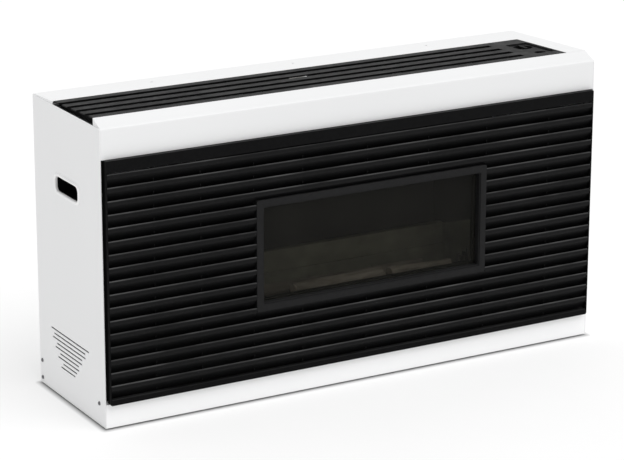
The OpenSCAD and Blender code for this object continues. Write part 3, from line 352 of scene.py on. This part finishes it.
WHITE = (0.80, 0.803, 0.807)
BLACK = (0.0034, 0.0034, 0.0036)
MATS = {
    "white_paint": white_powder("white_powder_coat", WHITE),
    # lighter copy of the white powder coat for the top plate: painted light on its upward face
    "white_painted_top_light": white_powder("white_powder_coat_painted_top_light", (0.885, 0.888, 0.892)),
    # lighter copy of the white powder coat for the base plinth: painted light from the floor bounce
    "white_painted_floor_bounce": white_powder("white_powder_coat_plinth_painted_bounce", (0.935, 0.937, 0.940)),
    # lighter copy of the white powder coat for the side panels: painted light, with black painted shade on the
    # flange behind the louvres
    "white_side_painted_light_and_shade": white_powder("white_powder_coat_side_painted_light_and_shade", (0.835, 0.838, 0.842), painted_shade_flange=True),
    "white_plastic": moulded("white_moulding", (0.93, 0.93, 0.93), 0.34, 0.45, 300.0, 0.05),
    "black_paint": black_enamel("black_enamel", BLACK, 0.42, 0.10, 0.034),
    # louvre copy of the black enamel: painted highlight, with the upward-facing noses mixed much lighter
    "louvre_paint_painted_highlight": black_enamel("louvre_enamel_painted_highlight", (0.0030, 0.0030, 0.0032), 0.40, 0.10, 0.085, 0.08, 0.05, 0.75),
    # darker copy of the black enamel for the grille frame rail: painted shade
    "rail_paint_painted_shade": black_enamel("rail_enamel_painted_shade", (0.0022, 0.0022, 0.0024), 0.45, 0.06, 0.020),
    # copy of the black enamel for the top slats, with a weaker painted top highlight
    "slat_paint_painted_light": black_enamel("slat_enamel_painted_light", BLACK, 0.46, 0.08, 0.020),
    # lighter copy of the black enamel for the recessed control tray: painted light against its shade
    "tray_paint_painted_light": black_enamel("tray_enamel_painted_light", (0.010, 0.010, 0.0105), 0.50, 0.08, 0.012),
    "frame_paint": black_enamel("frame_enamel", (0.0062, 0.0062, 0.0065), 0.45, 0.14, 0.010),
    "zinc_sheet": sheet_zinc("zinc_sheet", (0.56, 0.57, 0.58)),
    "rubber": rubber("glide_rubber", (0.02, 0.02, 0.02)),
    "screw_steel": drawn_metal("dark_screw", (0.26, 0.26, 0.27), 0.48, (30, 30, 30)),
    "fire_glass": smoked_glass("smoked_glass"),
    "rope": rope("glass_rope"),
    "black_plastic": moulded("black_moulding", (0.0036, 0.0036, 0.0038), 0.52, 0.10),
    "pointer_white": moulded("pointer_line", (0.040, 0.040, 0.039), 0.6, 0.12),
    "stainless": drawn_metal("burner_steel", (0.50, 0.48, 0.44), 0.36, (4, 40, 40), (0.22, 0.15, 0.10)),
    "brass": drawn_metal("turned_brass", (0.72, 0.52, 0.20), 0.28, (40, 40, 4)),
    "cast_alloy": drawn_metal("cast_alloy", (0.60, 0.61, 0.62), 0.46, (9, 9, 9)),
    "alloy_pipe": drawn_metal("drawn_tube", (0.70, 0.71, 0.72), 0.30, (25, 25, 3)),
    "dark_steel": black_enamel("stove_black", (0.006, 0.006, 0.006), 0.6, 0.10, 0.004),
    "fire_board": fibre("sooted_board", (0.185, 0.180, 0.148), (0.125, 0.122, 0.10), 0.30),
    "ember_fibre": fibre("ember_bed", (0.125, 0.120, 0.100), (0.045, 0.040, 0.034), 0.6, 2.0),
    "log_fibre": log_bark("log_bark"),
    "log_dark": log_bark("log_bark_dark", 0.60),
    # pale sawn end grain for the log caps, made lighter still as painted light on ends the lamp leaves unlit
    "log_end_painted_light": fibre("sawn_end_painted_light", (0.66, 0.585, 0.52), (0.52, 0.45, 0.39), 0.4, 1.2),
    "fire_shell": fire_shell("fire_shell"),
    "sooted_steel": drawn_metal("sooted_steel", (0.060, 0.057, 0.052), 0.6, (4, 40, 40), (0.05, 0.035, 0.03)),
    "sooted_ceramic": moulded("sooted_ceramic", (0.07, 0.066, 0.058), 0.7, 0.1, 200.0, 0.03),
    "copper": drawn_metal("drawn_copper", (0.70, 0.36, 0.22), 0.32, (25, 25, 3)),
    "electrode_ceramic": moulded("glazed_ceramic", (0.80, 0.77, 0.70), 0.2, 0.5, 200.0, 0.03),
    "lead_rubber": rubber("silicone_lead", (0.022, 0.018, 0.017)),
}

# per-part overrides: lit and shaded copies of the black enamel and white powder coat (painted light and painted
# shade), and the firebox and sooted burner finishes
PAINT = {"louvres_upper": "louvre_paint_painted_highlight", "louvres_left": "louvre_paint_painted_highlight", "louvres_right": "louvre_paint_painted_highlight",
         "louvres_lower": "louvre_paint_painted_highlight", "grille_frame": "rail_paint_painted_shade", "top_grille": "slat_paint_painted_light",
         "control_bay": "tray_paint_painted_light", "base_plinth": "white_painted_floor_bounce", "top_plate": "white_painted_top_light",
         "side_panel_left": "white_side_painted_light_and_shade", "side_panel_right": "white_side_painted_light_and_shade", "firebox": "fire_shell",
         "thermocouple": "sooted_steel", "pilot_burner": "sooted_steel", "pilot_bracket": "sooted_steel",
         "burner_bar": "sooted_steel", "spark_electrode": "sooted_ceramic"}
slot_of = {s["node"]: s["material_slot"] for s in frame["record"]["subparts"]}
for name, ob in nodes.items():
    me = ob.data
    me.materials.clear()
    me.materials.append(MATS[PAINT.get(name, slot_of[name])])

# edges of the shown sheet metal and mouldings catch a little light
ROUND = {
    "side_panel_left": 0.0006, "side_panel_right": 0.0006, "top_trim": 0.0006, "base_plinth": 0.0007,
    "top_plate": 0.0005, "grille_frame": 0.0007, "window_frame": 0.0006, "top_grille": 0.0006,
    "hand_cups": 0.0006, "control_bay": 0.0004, "control_knob": 0.0005,
    "louvres_upper": 0.0003, "louvres_left": 0.0003, "louvres_right": 0.0003, "louvres_lower": 0.0003,
    "side_screws": 0.00025, "igniter_button": 0.0004, "igniter_bezel": 0.0003, "wall_bracket": 0.0003,
    "back_panel": 0.0003, "flue_spigot": 0.0002, "feet": 0.0005, "base_pan": 0.0003,
}
for name, w in ROUND.items():
    if name in nodes:
        md = nodes[name].modifiers.new("edge", "BEVEL")
        md.width = w
        md.segments = 2
        md.limit_method = "ANGLE"
        md.angle_limit = math.radians(35)
        md.use_clamp_overlap = True


# ------------------------------------------------------------------ fire
def dp(d):
    """Depth behind the front sheet, in millimetres, as Y in metres."""
    return (d - 137.0) / 1000.0


def link_mesh(name, bm, mat, smooth=35.0):
    me = bpy.data.meshes.new(name)
    bm.normal_update()
    bm.to_mesh(me)
    bm.free()
    me.materials.append(mat)
    ob = bpy.data.objects.new(name, me)
    scene.collection.objects.link(ob)
    for p in me.polygons:
        p.use_smooth = True
    return ob


def bark_tube(bm, a, b, r0, r1, seed, rings, around, rough=0.16, ragged=0.004, cap=1):
    """A closed length of split bark from a to b: ridged round its girth, with torn ends."""
    ax = b - a
    ln = ax.length
    w = ax.normalized()
    u = w.orthogonal().normalized()
    v = w.cross(u)
    off = Vector((seed * 3.7, seed * 1.9, seed * 5.3))
    vs = []
    for i in range(rings + 1):
        k = i / rings
        row = []
        for j in range(around):
            an = 2 * math.pi * j / around
            rad = u * math.cos(an) + v * math.sin(an)
            q = Vector((k * ln * 34.0, math.cos(an) * 2.1, math.sin(an) * 2.1)) + off
            ridge = abs(noise.noise(Vector((k * ln * 26.0, math.cos(an) * 4.6, math.sin(an) * 4.6)) + off))
            lump = noise.noise(q * 0.35)
            crack = max(0.0, 1.0 - abs(noise.noise(Vector((k * ln * 9.0, an * 2.3, 0.0)) + off)) * 9.0)
            r = (r0 + (r1 - r0) * k) * (0.86 + rough * 0.8 * ridge + rough * 0.5 * lump - 0.10 * crack)
            end = 0.0
            if i == 0 or i == rings:
                end = ragged * noise.noise(Vector((an * 1.7, seed, k * 9.0)))
            bend = 0.004 * math.sin(k * math.pi) * noise.noise(off + Vector((0.3, 0.2, 0.7)))
            p = a + w * (k * ln + end) + rad * r + v * bend
            row.append(bm.verts.new(p))
        vs.append(row)
    for i in range(rings):
        for j in range(around):
            j2 = (j + 1) % around
            bm.faces.new((vs[i][j], vs[i][j2], vs[i + 1][j2], vs[i + 1][j]))
    # sawn and weathered ends, sunk a little towards the heart
    for row, c, sgn in ((vs[0], a, 1), (vs[-1], b, -1)):
        prev = row
        for s_ in (0.72, 0.42, 0.16):
            ring = []
            for j, o in enumerate(row):
                d = o.co - c
                depth = sgn * (0.0012 * (1 - s_) + 0.0006 * noise.noise(o.co * 300.0 + off))
                ring.append(bm.verts.new(c + d * s_ + w * depth))
            for j in range(around):
                j2 = (j + 1) % around
                f = (prev[j], ring[j], ring[j2], prev[j2])
                bm.faces.new(f if sgn > 0 else tuple(reversed(f))).material_index = cap
            prev = ring
        bm.faces.new(tuple(reversed(prev)) if sgn > 0 else tuple(prev)).material_index = cap


def make_log(name, node, a, b, r, seed, stubs, bark="log_fibre"):
    bm = bmesh.new()
    A, B = Vector(a), Vector(b)
    bark_tube(bm, A, B, r, r * 0.93, seed, max(40, int((B - A).length / 0.0022)), 56)
    for k, (dx, dy, dz), ln, sr in stubs:
        c = A.lerp(B, k)
        d = Vector((dx, dy, dz)).normalized()
        bark_tube(bm, c, c + d * ln, sr * 1.15, sr, seed + k * 7.0, 14, 22, 0.2, 0.002, 0)
    ob = link_mesh(name, bm, MATS[bark])
    # caps take the pale end-grain material, partly real colour and partly painted light
    ob.data.materials.append(MATS["log_end_painted_light"])
    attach(ob, "heater")
    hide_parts(node)
    return ob


make_log("bark_log_front_left", "log_front_left", (-0.111, dp(49), 0.1812), (0.083, dp(53), 0.1842), 0.0172, 1.3,
         ())
make_log("bark_log_front_right", "log_front_right", (0.103, dp(56), 0.1804), (0.235, dp(49), 0.1786), 0.0147, 4.1,
         ())
make_log("bark_log_rear", "log_rear", (-0.151, dp(108), 0.1688), (0.207, dp(110), 0.1683), 0.0137, 8.6,
         ((0.28, (0.40, 0.0, 0.85), 0.0170, 0.0038), (0.71, (-0.35, 0.1, 0.85), 0.0160, 0.0032)), "log_dark")


def make_embers():
    """The moulded rest under the logs, with its cracked top, and loose coals on it."""
    bm = bmesh.new()
    zb = 0.1198

    def block(x0, x1, d0, d1, top, rise, seed):
        step = 0.0026
        nx = max(6, int((x1 - x0) / step))
        ny = max(6, int((d1 - d0) / 1000.0 / step))
        y0, y1 = dp(d0), dp(d1)
        g = []
        for i in range(nx + 1):
            row = []
            for j in range(ny + 1):
                x = x0 + (x1 - x0) * i / nx
                y = y0 + (y1 - y0) * j / ny
                e = min(i, nx - i, (j) * 1.0, (ny - j) * 1.0)
                fall = 0.0036 * max(0.0, 1.0 - e / 2.0)
                n1 = noise.noise(Vector((x * 70.0, y * 70.0, seed)))
                n2 = abs(noise.noise(Vector((x * 190.0, y * 190.0, seed + 4.0))))
                row.append(bm.verts.new((x, y, top - fall + rise * (0.55 * n1 - 0.45 * n2) - rise * 0.5)))
            g.append(row)
        for i in range(nx):
            for j in range(ny):
                bm.faces.new((g[i][j], g[i + 1][j], g[i + 1][j + 1], g[i][j + 1]))
        rim = [g[i][0] for i in range(nx + 1)] + [g[nx][j] for j in range(1, ny + 1)] \
            + [g[i][ny] for i in range(nx - 1, -1, -1)] + [g[0][j] for j in range(ny - 1, 0, -1)]
        low = [bm.verts.new((v.co.x, v.co.y, zb)) for v in rim]
        n = len(rim)
        for k in range(n):
            bm.faces.new((rim[k], low[k], low[(k + 1) % n], rim[(k + 1) % n]))
        bm.faces.new(list(reversed(low)))

    block(-0.200, 0.240, 28.2, 71.8, 0.1590, 0.0060, 2.0)
    block(-0.1998, -0.1822, 72.0, 141.8, 0.1575, 0.0050, 5.0)
    block(-0.1998, 0.2278, 127.2, 141.8, 0.1595, 0.0045, 7.0)
    rnd = random.Random(11)
    for k in range(150):
        x = rnd.uniform(-0.190, 0.230)
        y = dp(rnd.uniform(33, 67))
        r = rnd.uniform(0.0028, 0.0052)
        z = rnd.uniform(0.1560, 0.1595)
        geo = bmesh.ops.create_icosphere(bm, subdivisions=2, radius=r)
        sx, sy, sz = rnd.uniform(0.8, 1.3), rnd.uniform(0.7, 1.1), rnd.uniform(0.6, 0.9)
        tw = Matrix.Rotation(rnd.uniform(0, 6.28), 3, "Z") @ Matrix.Rotation(rnd.uniform(-0.6, 0.6), 3, "X")
        for v in geo["verts"]:
            c = v.co
            f = 1.0 + 0.38 * noise.noise(c * 420.0 + Vector((k, k * 0.7, 0)))
            v.co = tw @ Vector((c.x * sx * f, c.y * sy * f, c.z * sz * f)) + Vector((x, y, z))
    ob = link_mesh("ember_bed", bm, MATS["ember_fibre"])
    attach(ob, "heater")
    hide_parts("ember_tray")


make_embers()


# ------------------------------------------------------------------ studio
WORLD = 0.70
SUN_TOP = 1.42
GLOW = 0.49


def studio():
    me = bpy.data.meshes.new("floor")
    s = 30.0
    me.from_pydata([(-s, -s, 0), (s, -s, 0), (s, s, 0), (-s, s, 0)], [], [(0, 1, 2, 3)])
    fl = bpy.data.objects.new("floor", me)
    scene.collection.objects.link(fl)
    # white table lit a little from below
    m = Mat("floor")
    tone = m.mix(m.remap(m.noise(3.0), 0.3, 0.7, 0.0, 1.0), (0.495, 0.495, 0.495), (0.505, 0.505, 0.505))
    m.colour(tone)
    m.setv(Roughness=0.9, Specular_IOR_Level=0.0)
    m.b.inputs["Emission Color"].default_value = (1.0, 1.0, 1.0, 1.0)
    # painted contact shadow: the floor's glow is masked out under the heater's footprint and fades back in within 12
    # mm around it
    sep = m.n.new("ShaderNodeSeparateXYZ")
    m.link(m.co, sep.inputs[0])
    dx = m.math("MAXIMUM", m.math("SUBTRACT", m.math("ABSOLUTE", sep.outputs["X"]), 0.525), 0.0)
    dy = m.math("MAXIMUM", m.math("SUBTRACT", m.math("ABSOLUTE", m.math("SUBTRACT", sep.outputs["Y"], 0.005)),
                                  0.142), 0.0)
    painted_shadow_dist = m.math("SQRT", m.math("ADD", m.math("MULTIPLY", dx, dx), m.math("MULTIPLY", dy, dy)))
    m.link(m.remap(painted_shadow_dist, 0.0, 0.012, 0.0, GLOW), m.b.inputs["Emission Strength"])
    me.materials.append(m.m)

    w = bpy.data.worlds.new("studio")
    scene.world = w
    w.use_nodes = True
    bg = w.node_tree.nodes["Background"]
    bg.inputs["Color"].default_value = (1.0, 1.0, 1.0, 1.0)
    bg.inputs["Strength"].default_value = WORLD

    def sun(name, towards, strength, angle):
        l = bpy.data.lights.new(name, "SUN")
        l.energy = strength
        l.angle = math.radians(angle)
        o = bpy.data.objects.new(name, l)
        o.rotation_euler = Vector(towards).to_track_quat("-Z", "Y").to_euler()
        scene.collection.objects.link(o)
        return o

    # one wide soft light from above and in front of the right end
    sun("soft_top", (-0.25, 0.50, -1.0), SUN_TOP, 50.0)
    scene.view_settings.view_transform = "Standard"
    scene.view_settings.look = "None"
    scene.view_settings.exposure = 0.0


studio()
